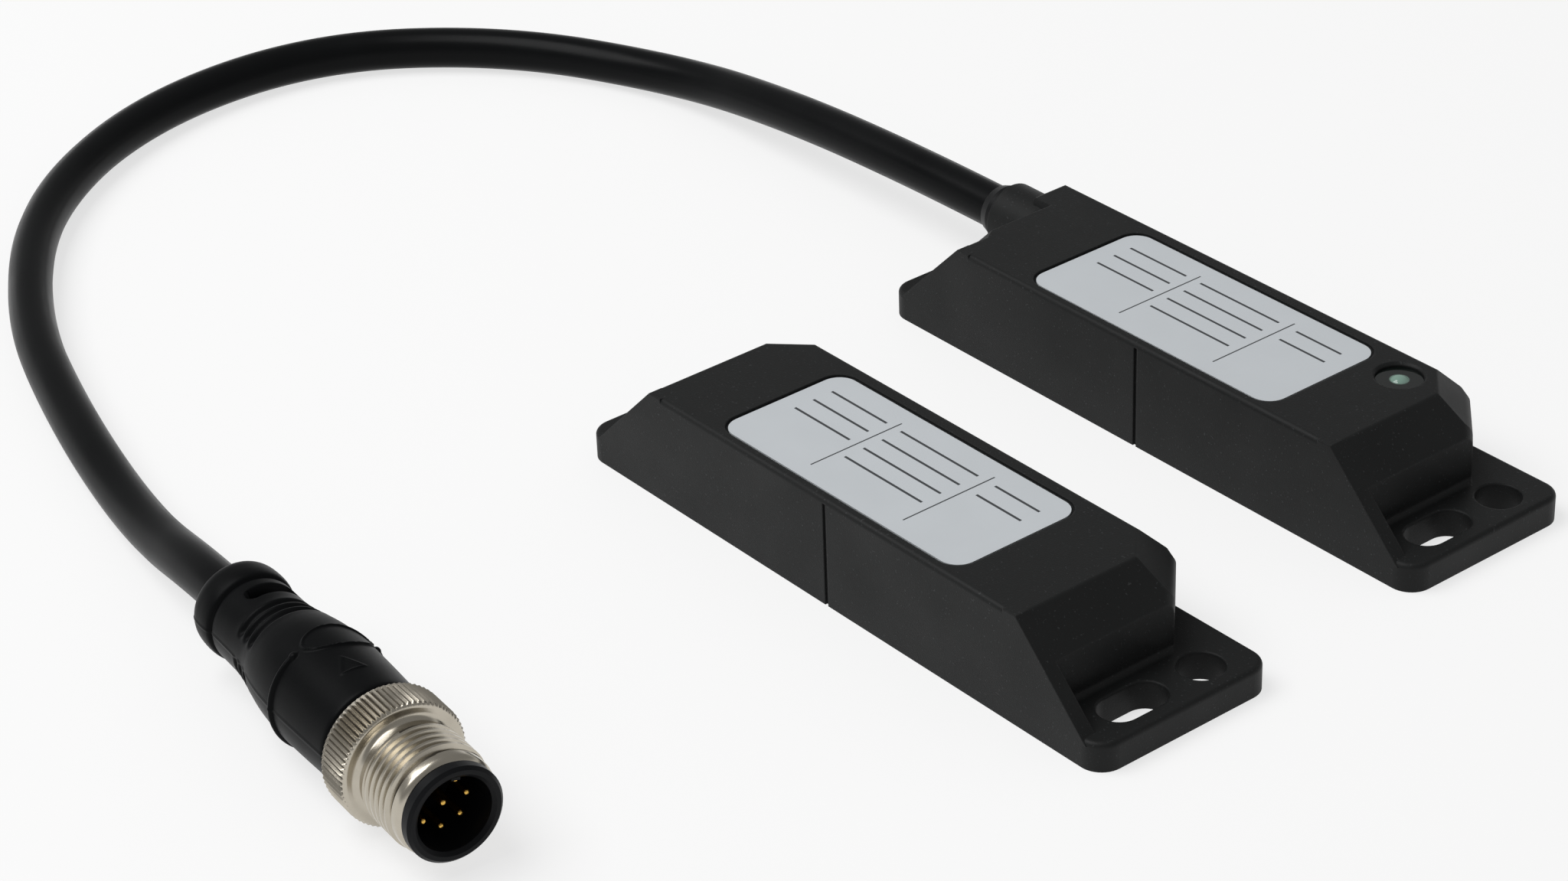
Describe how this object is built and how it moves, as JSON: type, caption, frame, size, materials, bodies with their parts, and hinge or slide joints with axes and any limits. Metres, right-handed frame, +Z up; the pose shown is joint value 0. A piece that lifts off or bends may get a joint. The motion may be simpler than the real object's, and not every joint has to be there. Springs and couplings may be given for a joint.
{
  "type": "non contact safety switch",
  "caption": "Coded magnetic safety sensor with a short lead and round threaded plug, and its matching actuator, both in slim black housings with fixing ears.",
  "frame": {"origin": "centre of the sensor housing's base, on the surface that it is screwed to", "axes": "+X along the sensor towards its status light, away from the cable; +Y across it, away from the grooved sensing face; +Z up from the base"},
  "size_m": [0.2006, 0.1385, 0.0146],
  "materials": {
    "moulded_black": "fine grained glass-filled thermoplastic",
    "cast_resin": "cast epoxy",
    "printed_label": "satin polyester film",
    "board_laminate": "green solder mask",
    "chip_ceramic": "glazed black",
    "lamp_body": "white moulding",
    "clear_lens": "clear polycarbonate",
    "wire_insulation": "smooth",
    "black_rubber": "smooth",
    "cable_jacket": "smooth polyurethane",
    "plug_rubber": "moulded polyurethane",
    "core_mould": "natural",
    "insulator_black": "moulded",
    "gold_contact": "gold plated, polished",
    "nickel_plate": "nickel plated brass, turned",
    "reed_glass": "clear",
    "tinned_wire": "tinned",
    "tray_plastic": "moulded",
    "magnet_metal": "nickel plated"
  },
  "bodies": {
    "sensor": {"switch_housing": "moulded_black", "switch_resin": "cast_resin", "switch_label": "printed_label", "circuit_board": "board_laminate", "chip_resistors": "chip_ceramic", "status_lamp": "lamp_body", "status_lens": "clear_lens", "core_wires": "wire_insulation", "cable_boot": "black_rubber", "cable": "cable_jacket", "plug_body": "plug_rubber", "plug_inner_mould": "core_mould", "contact_carrier": "insulator_black", "contact_pins": "gold_contact", "reed_glass_1": "reed_glass", "reed_glass_2": "reed_glass", "reed_glass_3": "reed_glass", "reed_leads_1": "tinned_wire", "reed_leads_2": "tinned_wire", "reed_leads_3": "tinned_wire"},
    "nut": {"coupling_nut": "nickel_plate"},
    "actuator": {"actuator_housing": "moulded_black", "actuator_resin": "cast_resin", "actuator_label": "printed_label", "magnet_tray": "tray_plastic", "magnet_1": "magnet_metal", "magnet_2": "magnet_metal", "magnet_3": "magnet_metal"}
  },
  "joints": [
    {"name": "nut_turn", "type": "hinge", "parent": "sensor", "child": "nut", "pos_m": [0.00505, -0.11873, 0.0073], "axis": [0.9952, -0.0976, 0], "continuous": true},
    {"name": "actuator_approach", "type": "slide", "parent": "sensor", "child": "actuator", "axis": [0, 1, 0], "range_m": [-0.02, 0.018]}
  ]
}
